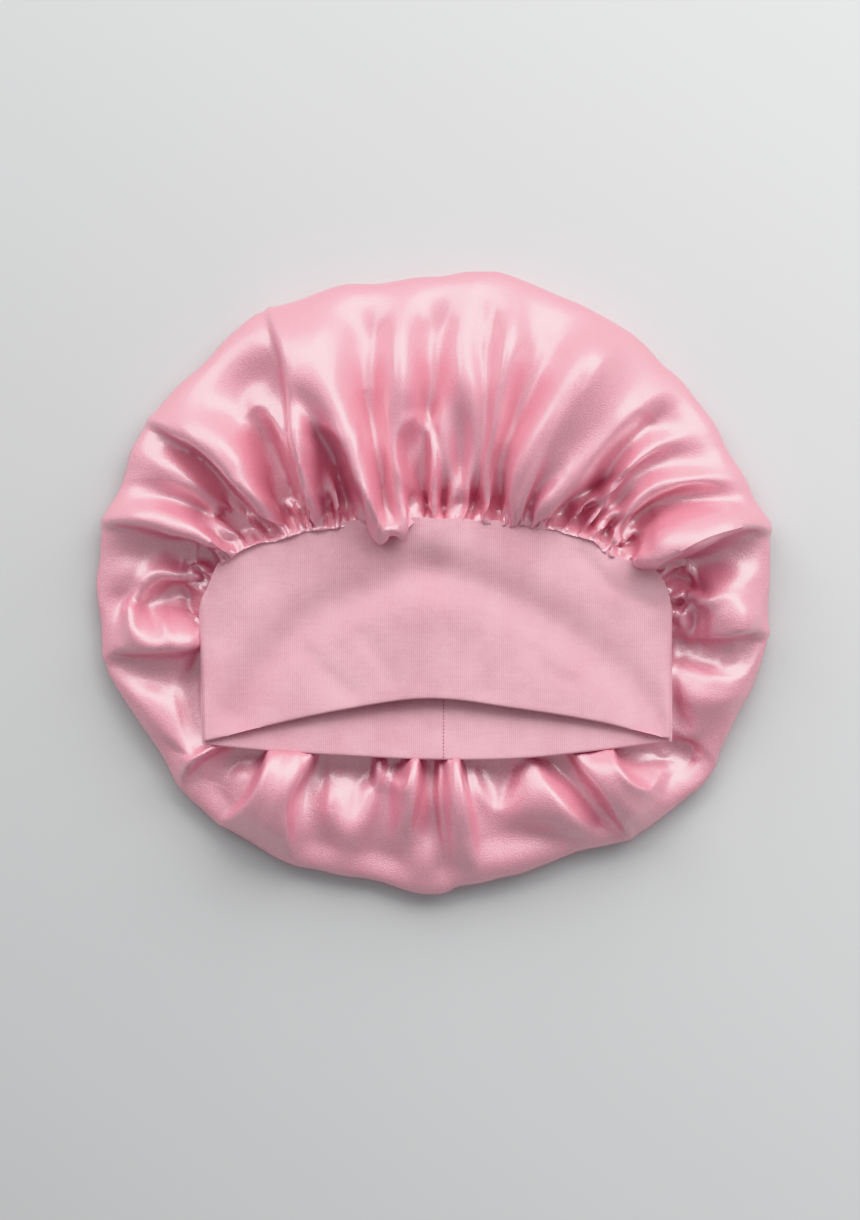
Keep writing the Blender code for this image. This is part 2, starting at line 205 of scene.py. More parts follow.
# The tubes of the crown's folds, each followed from the band outwards: the shapes of its left and
# right side, and points of px, py, the height above the creases, and the widths in pixels to the
# left and to the right. A side of shape 0.5 is a rolled edge that lies over its neighbour, 1 meets
# it in a crease, and 2 fades.
TUBES = [
    # upper side, from the left
    # swirl beside the band's left side fold
    (1, 0.7, [(203, 586, 2, 5, 4), (188, 578, 5, 7, 5), (165, 575, 7, 10, 7), (146, 583, 7, 12, 9),
        (133, 600, 7, 12, 12), (130, 622, 7, 12, 12), (142, 643, 6, 10, 12), (160, 652, 5, 8, 10)]),
    (1, 1, [(206, 587, 3, 3, 3), (193, 588, 4, 4, 3), (183, 580, 4, 4, 4), (181, 565, 3, 4, 4),
        (187, 553, 2, 4, 4)]),
    (1, 1, [(211, 574, 3, 3, 3), (200, 573, 4, 4, 3), (192, 563, 4, 4, 4), (190, 550, 3, 4, 4)]),
    (2, 1, [(175, 558, 3, 12, 8), (150, 564, 4, 14, 10), (120, 580, 4, 16, 14), (98, 588, 2, 16, 12)]),
    (0.5, 1, [(232, 549, 5, 4, 6), (212, 541, 8, 7, 12), (188, 530, 9, 10, 22), (160, 520, 9, 12, 34),
        (130, 513, 8, 12, 40), (104, 512, 5, 12, 36)]),
    (1, 0.7, [(252, 537, 4, 6, 4), (236, 541, 5, 6, 5), (220, 528, 6, 7, 7), (211, 510, 6, 7, 8),
        (216, 495, 6, 7, 8), (226, 488, 5, 6, 6), (240, 498, 4, 4, 4)]),
    (0.8, 0.8, [(262, 537, 4, 4, 3), (250, 518, 5, 4, 3), (240, 503, 5, 4, 4), (230, 492, 4, 5, 4)]),
    (1.2, 1.5, [(215, 500, 5, 16, 14), (185, 487, 7, 24, 22), (155, 470, 8, 30, 26),
        (128, 462, 5, 30, 26)]),
    # long edge on the left
    (0.5, 1, [(283, 531, 4, 5, 4), (266, 511, 7, 6, 8), (249, 490, 9, 7, 16), (234, 470, 10, 8, 26),
        (219, 452, 10, 9, 32), (198, 433, 9, 9, 36), (168, 413, 7, 9, 30), (150, 404, 4, 8, 24)]),
    # arch right of it
    (1, 0.8, [(312, 522, 4, 3, 3), (303, 497, 7, 7, 5), (291, 455, 8, 13, 6), (276, 420, 8, 16, 8),
        (262, 402, 6, 16, 14), (247, 392, 4, 18, 16)]),
    (0.5, 1, [(319, 524, 3, 7, 6), (315, 500, 6, 11, 12), (310, 470, 8, 13, 20), (304, 445, 11, 14, 26),
        (299, 422, 13, 16, 30)]),
    (1, 1, [(336, 520, 3, 6, 6), (333, 504, 4, 7, 7), (329, 485, 4, 8, 8), (325, 465, 2, 8, 8)]),
    # first great fold, with its tongue over the band
    (0.5, 0.9, [(386, 531, 9, 13, 7), (379, 506, 11, 14, 11), (367, 474, 12, 15, 14),
        (351, 440, 13, 17, 24), (331, 400, 12, 44, 38), (316, 360, 10, 34, 54), (312, 320, 8, 40, 58),
        (314, 292, 5, 46, 52)]),
    # second great fold, the tongue's other half
    (0.9, 0.9, [(402, 527, 9, 9, 8), (400, 505, 10, 9, 7), (396, 470, 10, 12, 9), (391, 440, 11, 13, 13),
        (392, 400, 12, 20, 30), (396, 350, 10, 26, 34), (402, 305, 6, 32, 44), (408, 284, 3, 30, 48)]),
    # horseshoe
    (0.8, 0.8, [(411, 512, 4, 3, 3), (408, 494, 5, 4, 3), (400, 479, 6, 6, 4), (396, 456, 7, 7, 5),
        (400, 433, 7, 8, 6), (412, 419, 7, 8, 7), (426, 424, 7, 7, 7), (434, 441, 8, 7, 5),
        (436, 470, 8, 6, 5), (435, 500, 6, 5, 5), (437, 518, 4, 4, 5)]),
    (0.8, 0.8, [(417, 514, 3, 3, 3), (416, 495, 4, 3, 3), (413, 468, 5, 4, 4), (412, 443, 4, 4, 4)]),
    (0.9, 0.9, [(450, 516, 4, 4, 4), (454, 492, 6, 6, 5), (449, 455, 7, 7, 7), (447, 420, 8, 8, 9),
        (453, 393, 9, 14, 12), (461, 365, 9, 22, 22), (466, 330, 7, 32, 24), (470, 297, 5, 40, 22),
        (472, 280, 3, 44, 20)]),
    (0.9, 0.7, [(462, 516, 4, 4, 4), (468, 488, 7, 6, 6), (474, 455, 8, 7, 6), (474, 425, 9, 8, 9),
        (469, 395, 10, 9, 15), (464, 370, 11, 12, 20)]),
    (0.6, 0.8, [(487, 518, 4, 6, 6), (489, 490, 7, 9, 7), (492, 462, 9, 12, 8), (498, 432, 11, 15, 11),
        (504, 400, 12, 20, 20), (509, 360, 12, 24, 28), (516, 320, 8, 29, 36), (521, 294, 5, 32, 38),
        (523, 281, 3, 32, 34)]),
    (0.6, 0.9, [(518, 522, 7, 15, 7), (523, 492, 10, 20, 13), (531, 468, 12, 25, 19),
        (546, 438, 13, 30, 27), (566, 408, 14, 33, 32), (586, 378, 14, 36, 34), (606, 348, 12, 42, 32),
        (620, 328, 6, 46, 30)]),
    # its sharp edge lies over the fold on the left
    (0.5, 1, [(528, 520, 6, 4, 10), (541, 503, 9, 5, 24), (563, 482, 11, 6, 32), (586, 459, 12, 7, 26),
        (608, 438, 12, 9, 20), (630, 420, 12, 13, 18), (654, 398, 8, 20, 20), (684, 382, 4, 24, 24)]),
    (0.8, 0.8, [(567, 530, 4, 5, 5), (574, 517, 5, 6, 5), (586, 505, 6, 8, 6), (603, 500, 6, 8, 8)]),
    (0.8, 0.8, [(584, 534, 4, 5, 4), (589, 522, 5, 5, 5), (599, 510, 5, 7, 6)]),
    (0.8, 0.8, [(597, 538, 4, 5, 5), (603, 525, 5, 6, 6), (614, 513, 6, 8, 8)]),
    (0.9, 1.5, [(602, 508, 5, 7, 12), (611, 490, 8, 9, 18), (627, 466, 9, 14, 24), (654, 448, 7, 26, 30),
        (694, 436, 4, 34, 34)]),
    (1.5, 0.9, [(617, 532, 5, 10, 6), (633, 508, 9, 18, 10), (656, 488, 11, 26, 16), (692, 472, 8, 30, 24),
        (726, 470, 6, 30, 26), (748, 476, 4, 26, 22)]),
    (0.8, 0.8, [(616, 553, 4, 4, 4), (614, 541, 5, 4, 4), (620, 530, 5, 5, 5)]),
    (0.8, 0.8, [(627, 557, 4, 4, 4), (625, 545, 5, 4, 4), (634, 532, 5, 5, 5)]),
    # broad fold over the edge on the right
    (1, 0.5, [(642, 556, 6, 10, 8), (656, 546, 9, 20, 15), (682, 535, 11, 28, 22), (716, 526, 12, 30, 22),
        (747, 520, 10, 28, 17), (770, 518, 6, 22, 12)]),
    (0.8, 0.8, [(662, 569, 3, 4, 4), (678, 573, 4, 5, 5), (692, 582, 4, 7, 6), (702, 592, 3, 8, 8)]),
    (1.5, 0.5, [(680, 603, 5, 10, 10), (702, 597, 8, 18, 26), (736, 592, 10, 28, 42),
        (772, 592, 6, 30, 42)]),
    (0.9, 0.9, [(675, 603, 3, 4, 5), (688, 604, 4, 5, 5), (697, 613, 4, 6, 5), (698, 628, 3, 6, 5)]),
    (1, 1, [(676, 649, 3, 5, 4), (690, 650, 4, 6, 5), (704, 656, 2, 6, 6)]),
    (1.2, 2, [(674, 670, 5, 9, 20), (700, 681, 7, 11, 26), (730, 682, 8, 11, 26), (750, 672, 7, 9, 18),
        (761, 656, 5, 7, 8), (764, 642, 3, 5, 6)]),
    # lower side, from the right
    (2, 0.5, [(578, 750, 5, 16, 7), (598, 776, 8, 24, 9), (617, 804, 9, 30, 10), (636, 834, 6, 30, 9)]),
    (1, 2, [(531, 759, 5, 8, 12), (543, 790, 8, 18, 22), (563, 818, 9, 24, 24), (592, 838, 7, 22, 18),
        (612, 844, 4, 14, 12)]),
    (1, 2, [(500, 868, 5, 14, 12), (484, 872, 6, 16, 12), (466, 860, 7, 14, 12), (459, 838, 8, 12, 16),
        (457, 800, 9, 11, 19), (452, 762, 6, 10, 14)]),
    (0.5, 1, [(417, 762, 6, 7, 14), (415, 790, 8, 9, 22), (409, 815, 8, 10, 24), (404, 840, 5, 12, 20)]),
    (2, 2, [(428, 842, 4, 12, 12), (425, 866, 6, 18, 20), (424, 888, 4, 18, 20)]),
    (1, 2, [(374, 760, 4, 7, 6), (373, 785, 6, 9, 12), (366, 812, 7, 16, 18), (350, 838, 7, 20, 20),
        (344, 862, 4, 20, 20)]),
    (2, 1, [(330, 775, 4, 14, 12), (335, 805, 6, 20, 16), (340, 835, 5, 20, 18)]),
    (0.6, 1, [(304, 752, 6, 12, 40), (292, 776, 8, 12, 34), (283, 800, 9, 12, 26), (284, 830, 9, 16, 22),
        (288, 858, 5, 18, 22)]),
    (0.5, 1.5, [(228, 742, 5, 6, 10), (208, 749, 7, 8, 16), (191, 760, 8, 9, 22), (180, 776, 6, 9, 22),
        (178, 788, 3, 8, 16)]),
    (1, 2, [(200, 740, 3, 10, 10), (172, 738, 6, 24, 20), (146, 716, 7, 28, 20), (124, 690, 6, 26, 18),
        (108, 672, 3, 18, 14)]),
    # edge beside the band, lower left
    (0.5, 1.5, [(200, 641, 6, 9, 14), (165, 646, 8, 9, 20), (130, 646, 8, 10, 24), (103, 650, 4, 10, 24)]),
]


def smooth(x):
    """Eases from 0 to 1 as x does."""
    x = np.clip(x, 0, 1)
    return x * x * (3 - 2 * x)


def blend(a, b, share):
    return a + (b - a) * share


def unit(vectors, least=0.0):
    return vectors / (np.linalg.norm(vectors, axis=-1, keepdims=True) + least)


def turned(values, columns):
    return np.roll(values, columns, axis=1)


def spline(values, at, closed=False):
    """Catmull-Rom curve through evenly spaced rows of values, at positions counted in rows."""
    row = np.floor(at).astype(int)
    share = (at - row).reshape(at.shape + (1,) * (values.ndim - 1))

    def value(i):
        return values[i % len(values)] if closed else values[np.clip(i, 0, len(values) - 1)]

    a, b, c, d = (value(row + i) for i in (-1, 0, 1, 2))
    return b + share * (
        (c - a) / 2 + share * (a - 2.5 * b + 2 * c - d / 2 + share * (1.5 * (b - c) + (d - a) / 2))
    )


def curve(points, count, closed=False):
    """So many points on a smooth line through a few points."""
    rows = np.array(points, float)
    last = len(rows) - (0 if closed else 1)
    return spline(rows, np.linspace(0, last, count, endpoint=not closed), closed)


def pixel_size(height):
    return PIXEL * (CAMERA_RANGE + SCALE_HEIGHT - height) / CAMERA_RANGE


def from_picture(px, py, height):
    """Plan position of a point of the picture that lies at a height."""
    scale = pixel_size(height)
    return CAMERA_X + (px - MIDDLE_PX) * scale, CAMERA_Y - (py - MIDDLE_PY) * scale


def to_picture(points):
    """Where the camera sees points."""
    scale = pixel_size(points[..., 2])
    return MIDDLE_PX + (points[..., 0] - CAMERA_X) / scale, MIDDLE_PY - (points[..., 1] - CAMERA_Y) / scale


def plan_line(pixels, height, density, closed=False):
    """Plan positions on a line of the picture that lies at a height."""
    line = np.stack(from_picture(*np.array(pixels, float).T, height), 1)
    return curve(line, len(line) * density, closed)


def lengths(points):
    """Running length along rows of points."""
    return np.concatenate([[0], np.cumsum(np.linalg.norm(np.diff(points, axis=0), axis=1))])


def nearest_on(line, x, y, reach=FAR):
    """For the points within reach of the box around a line: which they are, distance and offset to
    the line's nearest point, its height there, its width on that side, and the side: 1 on the left
    and 0 on the right. Of x, y, height and two widths, a line may lack the last ones."""
    line = np.column_stack([line, np.ones((len(line), 5 - line.shape[1]))])
    low, high = line[:, :2].min(0) - reach, line[:, :2].max(0) + reach
    inside = np.nonzero((x > low[0]) & (x < high[0]) & (y > low[1]) & (y < high[1]))[0]
    x, y = x[inside], y[inside]
    best = np.full(x.shape, FAR)
    kept = np.zeros((6, len(x)))
    for a, b in zip(line[:-1], line[1:]):
        d = b[:2] - a[:2]
        size = d @ d
        if size < 1e-9:
            continue
        t = np.clip(((x - a[0]) * d[0] + (y - a[1]) * d[1]) / size, 0, 1)
        ox, oy = x - a[0] - t * d[0], y - a[1] - t * d[1]
        off = ox * ox + oy * oy
        closer = off < best
        best[closer] = off[closer]
        t, ox, oy = t[closer], ox[closer], oy[closer]
        across = (ox * d[1] - oy * d[0]) / math.sqrt(size)
        kept[:, closer] = (ox, oy, *blend(a[2:5, None], b[2:5, None], t), across)
    height, left, right, across = kept[2:]
    off = np.sqrt(best)
    share = smooth((1 + across / np.maximum(off, 1e-6)) / 2)
    return inside, off, kept[:2], height, blend(right, left, share), share


# ---- the crown's plain surface

COLUMNS = 640
FRONT_ROWS = 56  # from the seam to the middle points
OUTER_ROWS = 56  # from there to the outline
SEAM_MIDDLE = np.array([0.0, -20.0])
TUCK = 2.5  # how far the gathered edge reaches in under the band's top edge
SEAM_HEIGHT = 26.0
UNDER_HEIGHT = 12.8  # of the cloth under the band
EMERGE_HEIGHT = 14.5  # and where it comes out from under it
RISE = 11.0  # distance from the seam over which the cloth rises
PUFF = 0.85  # share of the table's heights that the cloth has before it folds
ROW_SPACING = (1.25, 0.92)  # below 1, rows are closer to the outer end of their part
SHOULDER = (48.0, 36.0)  # from where the crown falls to its outline, above and below the band


def column_positions():
    """Position of each column, counted in main creases: even along the seam and the outline."""
    fine = np.linspace(0, len(FOLDS), 2001)
    seam, rim = (lengths(spline(ends, fine, True)) for ends in (FOLDS[:, :2], FOLDS[:, 4:6]))
    run = seam / seam[-1] + 0.8 * rim / rim[-1]
    return np.interp(np.arange(COLUMNS) / COLUMNS * run[-1], run, fine)


def under_band(at):
    """1 on the columns that start under the band, 0 on those above it."""
    return np.clip(at - RIGHT_SIDE + 1, 0, 1) - np.clip(at - len(FOLDS), 0, 1) + np.clip(1 - at, 0, 1)


def depth_under_band(points):
    """How far in under the band's sides and free edge points are, negative where they show."""
    x, y = points[..., 0], points[..., 1]
    low = np.interp(x, BAND_EDGES[:, 0], BAND_EDGES[:, 2])
    return np.minimum(np.minimum(x - BAND_EDGES[0, 0], BAND_EDGES[-1, 0] - x), y - low)


def outline_points(at):
    """The crown's outline for each column."""
    line = plan_line(OUTLINE_PX, RIM_HEIGHT, 8, True)
    line = np.vstack([line, line[:1]])
    run = lengths(line)
    marks = nearest_on(np.column_stack([line, run]), FOLDS[:, 4], FOLDS[:, 5])[3]
    marks = marks[0] + np.mod(marks - marks[0] + 1e-6, run[-1])
    marks = np.append(marks, marks[0] + run[-1])
    where = np.mod(np.interp(at, np.arange(len(FOLDS) + 1), marks), run[-1])
    return np.stack([np.interp(where, run, line[:, i]) for i in (0, 1)], 1)


def base_surface():
    """The crown's upper side without its folds, as rows of points, their distances from the seam and
    from the outline, and which columns start under the band."""
    at = column_positions()
    seam, mid = spline(FOLDS[:, :2], at, True), spline(FOLDS[:, 2:4], at, True)
    puff = PUFF * spline(FOLDS[:, 6], at - 0.5, True)
    rim = outline_points(at)
    under = under_band(at)

    # where the picture shows the seam, its drawn line counts
    drawn = plan_line(SEAM_PX, SEAM_HEIGHT, 8)
    rays = unit(drawn - SEAM_MIDDLE)
    for i in np.nonzero(under < 1)[0]:
        hit = drawn[int((rays @ unit(seam[i] - SEAM_MIDDLE)).argmax())]
        hit = hit - unit(hit - SEAM_MIDDLE) * TUCK
        seam[i] = blend(hit, seam[i], smooth(under[i]))

    v = np.concatenate([
        np.linspace(0, 1, FRONT_ROWS + 1) ** ROW_SPACING[0],
        1 + np.linspace(0, 1, OUTER_ROWS + 1)[1:] ** ROW_SPACING[1],
    ])[:, None, None]
    # a curve through the three points of each column
    first = np.linalg.norm(mid - seam, axis=1)
    whole = first + np.linalg.norm(rim - mid, axis=1)
    m = (first / whole)[None, :, None]
    s = np.where(v <= 1, v * m, m + (v - 1) * (1 - m))
    plan = (s - m) * (s - 1) / m * seam + s * (s - 1) / (m * (m - 1)) * mid + s * (s - m) / (1 - m) * rim

    steps = np.linalg.norm(np.diff(plan, axis=0), axis=2)
    from_seam = np.vstack([np.zeros((1, len(at))), np.cumsum(steps, axis=0)])
    from_rim = from_seam[-1] - from_seam
    shown = from_seam + under * (-depth_under_band(plan) - from_seam)  # from where it comes into view

    start = blend(UNDER_HEIGHT, SEAM_HEIGHT, smooth((seam[None, :, 1] + 15) / 40) * (1 - under))
    start = start + under * (EMERGE_HEIGHT - UNDER_HEIGHT) * smooth(1 + np.minimum(shown, 0) / 40)
    rise = 1 - np.exp(-((np.maximum(shown, 0) / RISE) ** 1.3))
    fall = (1 - (1 - np.minimum(from_rim / blend(*SHOULDER, under), 1)) ** 2.3) ** 0.72
    z = blend(RIM_HEIGHT, blend(start, puff, rise), fall)
    return np.dstack([plan, z]), from_seam, from_rim, under


# ---- the crown's folds

STEEPEST = 0.45  # deepest a crease may be, as a share of the distance between its two folds
REACH = 150.0  # pixels from a fold within which it counts
SOFT = 5.0  # the higher, the more only the nearest folds count
LEAST = (-FAR, -FAR, 0.3, 1.5, 1.5)  # a fold's least height and widths, its place being free
NEAR_OUTLINE, BEYOND = 38, 50  # pixels: a fold that ends so near the outline goes on so far
EDGE_WIDTH = 9.0  # pixels over which the cloth drops at the edge of an overlap
EDGE_REACH, LINE_REACH = 90, 40  # pixels from an edge or a narrow line within which it counts


def ridge_line(points):
    """A fold's line, drawn on past the outline where it ends near it."""
    rows = np.array(points, float)
    for end, inner in ((0, 1), (-1, -2)):
        tip = rows[end].copy()
        if np.linalg.norm(np.array(OUTLINE_PX, float) - tip[:2], axis=1).min() < NEAR_OUTLINE:
            tip[:2] += unit(rows[end, :2] - rows[inner, :2]) * BEYOND
            rows = np.vstack([tip, rows] if end == 0 else [rows, tip])
    return np.maximum(curve(rows, (len(rows) - 1) * 6 + 1), LEAST)


def beside(points, px, py, reach):
    """Which points of the picture are near a line, their distances from it, the line's third value
    there, and on which side they are."""
    rows = [point if len(point) == 3 else (*point, 1) for point in points]
    inside, off, _, value, _, side = nearest_on(curve(rows, (len(rows) - 1) * 6 + 1), px, py, reach)
    return inside, off, np.maximum(value, 0), side


def fold_heights(px, py):
    """Height of the folds at points of the picture. A point between two folds' lines lies on an
    arch that falls from each of them to the crease between the two."""
    near = np.full((len(TUBES), len(px)), 1e3, np.float32)
    facts = np.zeros((len(TUBES), 5, len(px)), np.float32)
    for i, (left, right, points) in enumerate(TUBES):
        inside, off, offset, height, width, share = nearest_on(ridge_line(points), px, py, REACH)
        near[i, inside] = off / width
        facts[i][:, inside] = (*(offset / (off + 1e-6)), height, off, blend(right, left, share))
    first = near.argmin(0)
    every = np.arange(len(px))
    t1 = near[first, every]
    f1 = facts[first, :, every]
    facing = np.einsum("nic,ci->nc", facts[:, :2], f1[:, :2])
    away = near / np.maximum((1 - facing) / 2, 1e-3) ** 1.2
    away[first, every] = 1e6
    weight = (away / away.min(0)) ** -SOFT
    weight /= weight.sum(0)
    t2 = (weight * near).sum(0)
    f2 = np.einsum("nc,nfc->cf", weight, facts)
    u = t1 / (t1 + t2)
    height = (f1[:, 2] * t2 + f2[:, 2] * t1) / (t1 + t2)
    depth = np.minimum(height, STEEPEST * ((f1[:, 3] + f2[:, 3]) * PIXEL))
    shape = np.clip(f1[:, 4], 0.5, 1)
    wave = np.cos(math.pi * np.clip(u, 0, 0.5)) ** 2
    arch = np.maximum(0, 1 - (2 * u) ** 2) ** shape
    return height - depth * (1 - blend(wave, arch, 2 * (1 - shape)))


def edge_steps(px, py):
    """Height that the edges of the cloth's overlaps add on their two sides."""
    rise = np.zeros(len(px))
    for over, under, points in EDGES:
        inside, off, step, side = beside(points, px, py, EDGE_REACH)
        above, below = 0.8 * np.exp(-off / over), -0.6 * np.exp(-off / under)
        rise[inside] += step * blend(below, above, smooth(0.5 + off * (1 - 2 * side) / EDGE_WIDTH))
    return rise


def line_heights(px, py):
    """Height that the narrow ridges and creases add."""
    rise = np.zeros(len(px))
    for height, half_width, points in LINES:
        inside, off, share, _ = beside(points, px, py, LINE_REACH)
        rise[inside] += height * share * np.exp(-((off / half_width) ** 1.5))
    return rise


# ---- the crown's cloth settles into its folds

LIFT = 0.004  # how much the air inside lifts the cloth at each step
LEAN = 0.05  # least distance between two columns, as a share of their distance on the plain surface
ALONG = 0.18  # how stiffly the cloth bends along its folds
SLOWING = 0.85  # share of its motion that the cloth keeps at each step
SHEAR = 0.1  # the weave shears easily
LOWEST = 14.0  # how far the cloth may sink below the plain surface
FLOOR_GAP = 2.5  # least height of the crown's upper side
LEAST_WIDTH = 0.35  # of a column
CROWN_TOP = 51.5  # the cloth stays below this
UNDER_BAND_TOP = 15.5  # and below this where it is under the band
HIDDEN, PINNED = 3, 14  # depths under the band where the cloth is out of sight, and where it stays
# From broad folds to fine ones: which columns and rows count, how strongly the cloth is held to where
# it starts, how stiff it is across its folds, and how much fuller it is next to the seam.
Level = namedtuple("Level", "every steps hold bending seam_fuller seam_reach")
LEVELS = [
    Level(4, 60, 0.30, 0.04, 0.0, 20.0),
    Level(2, 40, 0.30, 0.04, 0.1, 12.0),
    Level(1, 30, 0.20, 0.03, 0.3, 8.0),
]


def edge_lengths(points, axis):
    ahead = turned(points, -1) if axis else points[1:]
    return np.linalg.norm(ahead - (points if axis else points[:-1]), axis=2)


def even_columns(values, times=1):
    """Evens out values from column to column."""
    for _ in range(times):
        values = (turned(values, 1) + turned(values, -1) + 2 * values) / 4
    return values


def even_out(values, times=1):
    """Evens out a grid of values a little along and across its rows."""
    for _ in range(times):
        values = even_columns(values)
        inner = (values[:-2] + values[2:] + 2 * values[1:-1]) / 4
        values = np.concatenate([values[:1], inner, values[-1:]])
    return values


def pull(points, first, second, rest, free):
    """Moves two sets of points of the grid so that they are their rest length apart."""
    a, b = points[first], points[second]
    u, v = free[first], free[second]
    d = b - a
    size = np.sqrt((d * d).sum(-1)) + 1e-9
    change = ((size - rest) / (size * np.maximum(u + v, 1e-6)))[..., None] * d
    points[first] = a + u[..., None] * change
    points[second] = b - v[..., None] * change


def relax(start, base, width_rest, length_rest, floor, ceiling, free, level):
    """Settles the crown's cloth: it grows to its own width and buckles into its folds, while it
    keeps its lengths, bends softly and rests on what is under it. Points that aren't free stay."""
    p, old = start.copy(), start
    rows, cols = p.shape[:2]
    from_width, from_length = edge_lengths(start, 1), edge_lengths(start, 0)
    tangent = unit(turned(base, -1) - turned(base, 1), 1e-9)
    gap = ((turned(base, -1) - base) * tangent).sum(-1)
    every, even, odd = slice(None), slice(0, cols, 2), slice(1, cols, 2)
    loose = free[..., None]
    for step in range(level.steps):
        grown = smooth((step + 1) / (0.65 * level.steps))
        width = blend(from_width, width_rest, grown)
        length = blend(from_length, length_rest, grown)
        slant = np.sqrt(width[:-1] ** 2 + length ** 2)
        moved = (p - old) * SLOWING
        old = p.copy()
        p += moved * loose
        p[..., 2] += LIFT * free
        for _ in range(2):
            for turn in (0, 1):
                q = turned(p, -turn)
                pull(q, (every, even), (every, odd), turned(width, -turn)[:, even], turned(free, -turn))
                p = turned(q, turn)
            for first in (0, 1):
                a, b = slice(first, rows - 1, 2), slice(first + 1, rows, 2)
                pull(p, (a, every), (b, every), length[a], free)
        for turn in (-1, 1):
            d = turned(p, turn)[1:] - p[:-1]
            size = np.sqrt((d * d).sum(-1)) + 1e-9
            change = (SHEAR * (size - slant) / size)[..., None] * d
            p[:-1] += change * loose[:-1]
            p[1:] -= turned(change, -turn) * loose[1:]
        across = turned(p, 1) + turned(p, -1) - 2 * p
        across = turned(across, 1) + turned(across, -1) - 2 * across
        p -= level.bending / 2 * across * loose
        along = p[2:] + p[:-2] - 2 * p[1:-1]
        along = along[2:] + along[:-2] - 2 * along[1:-1]
        p[2:-2] -= ALONG / 2 * along * loose[2:-2]
        for turn in (0, 1):  # the columns stay in order round the crown
            q, f = turned(p, -turn), turned(loose, -turn)
            way = turned(tangent, -turn)[:, even]
            short = LEAN * turned(gap, -turn)[:, even] - ((q[:, odd] - q[:, even]) * way).sum(-1)
            short = np.maximum(short, 0)[..., None] / 2 * way
            q[:, even] -= short * f[:, even]
            q[:, odd] += short * f[:, odd]
            p = turned(q, turn)
        p += level.hold * (start - p) * loose
        p[..., 2] = np.where(free > 0, np.clip(p[..., 2], floor, ceiling), p[..., 2])
    return p


def finer(points):
    """The same surface with twice as many columns and rows."""
    between = (9 * (points + turned(points, -1)) - turned(points, 1) - turned(points, -2)) / 16
    wide = np.stack([points, between], 2).reshape(len(points), -1, 3)
    full = np.empty((2 * len(wide) - 1, *wide.shape[1:]))
    full[::2], full[1::2] = wide, (wide[1:] + wide[:-1]) / 2
    full[3:-3:2] = (9 * (wide[1:-2] + wide[2:-1]) - wide[:-3] - wide[3:]) / 16
    return full


def settle(base, points, from_seam, under):
    """The crown's cloth after it has settled, first with broad steps and then with finer ones."""
    own = even_columns(edge_lengths(points, 1) / np.maximum(edge_lengths(base, 1), LEAST_WIDTH), 60)
    depth = depth_under_band(base)
    hidden = (under[None] > 0.5) & (depth > HIDDEN)
    free = np.ones(base.shape[:2])
    free[[0, -1]] = 0
    free[1] = 0.5
    free[hidden & (depth > PINNED)] = 0
    floor = np.maximum(base[..., 2] - LOWEST, FLOOR_GAP)
    ceiling = UNDER_BAND_TOP + 1.7 * np.maximum(-depth, 0) + 1.8 * np.maximum(base[0, :, 1] + 17, 0)
    ceiling = np.minimum(ceiling, CROWN_TOP)
    shapes = {1: points}
    for n in (2, 4):
        shapes[n] = even_out(shapes[n // 2])[::2, ::2]
    result = None
    for level in LEVELS:
        n = level.every
        b, f = base[::n, ::n], shapes[n]
        fuller = 1 + level.seam_fuller * np.exp(-((from_seam / level.seam_reach) ** 1.5))
        ratio = np.where(hidden, own, own * fuller)[::n, ::n]
        width = np.maximum(edge_lengths(b, 1), LEAST_WIDTH * n) * ratio
        length = edge_lengths(f, 0)
        length = np.minimum(length, even_columns(length, 100 // n))
        start = f if result is None else finer(result) + f - finer(shapes[2 * n])
        start[[0, -1]] = f[[0, -1]]
        loose = (free * (1 if n == 1 else smooth(from_seam / (3.0 * n))))[::n, ::n]
        result = relax(start, b, width, length, floor[::n, ::n], ceiling[::n, ::n], loose, level)
    return result


# ---- the crown's cloth with its folds

# above and below the band: height of the folds that stays on the plain surface, how much higher
# the rest is, and distance from the outline over which it fades
MEAN_FOLD, FOLD_GAIN, FADE = (7.2, 6.0), (2.35, 2.0), (30.0, 14.0)
FLATTER = 0.1  # how much of the gain is lost on the way out
EVEN = [(0, 2), (4, 6), (20, 18), (45, 12)]  # distance from the seam, and how often to even out there
EDGE_FIRST = 0.5  # share of the overlaps' steps that is there before the cloth settles
OVERHANGS = [(390, 12.5, 23), (489, 3.0, 10), (338, 2.0, 8), (634, 3.0, 10)]  # px, mm, px
TONGUE = 6.0  # an overhang longer than this lies on the band
BAND_TOP = 28.4  # height of the band's front along its seam
GATHER = 1.6  # height of the fine gathers
PLEAT_WIDTHS, PLEAT_HEIGHTS, PLEAT_REACHES = (3.8, 7.5), (0.4, 1.0), (5.0, 12.0)  # least and most


def normals(points):
    """Unit normals of a grid of points that closes round its columns."""
    normal = unit(np.cross(turned(points, -1) - turned(points, 1), np.gradient(points, axis=0)), 1e-9)
    return normal * np.sign(normal[:, :, 2:3].mean() + 1e-9)


def gathers(seam, from_seam):
    """Fine pleats along the seam: their height is uneven, and they fade out within 2 cm."""
    rng = np.random.default_rng(7)
    run = lengths(np.vstack([seam, seam[:1]]))
    marks = [0.0]
    while marks[-1] < run[-1]:
        marks.append(marks[-1] + rng.uniform(*PLEAT_WIDTHS))
    marks = np.array(marks) * run[-1] / marks[-1]
    high = rng.uniform(*PLEAT_HEIGHTS, len(marks))
    reach = rng.uniform(*PLEAT_REACHES, len(marks))
    high[-1], reach[-1] = high[0], reach[0]
    phase, amount, far = (np.interp(run[:-1], marks, v) for v in (np.arange(len(marks)), high, reach))
    arch = np.abs(np.sin(math.pi * phase)) ** 0.7
    return amount * arch * np.exp(-((from_seam / far) ** 1.5))


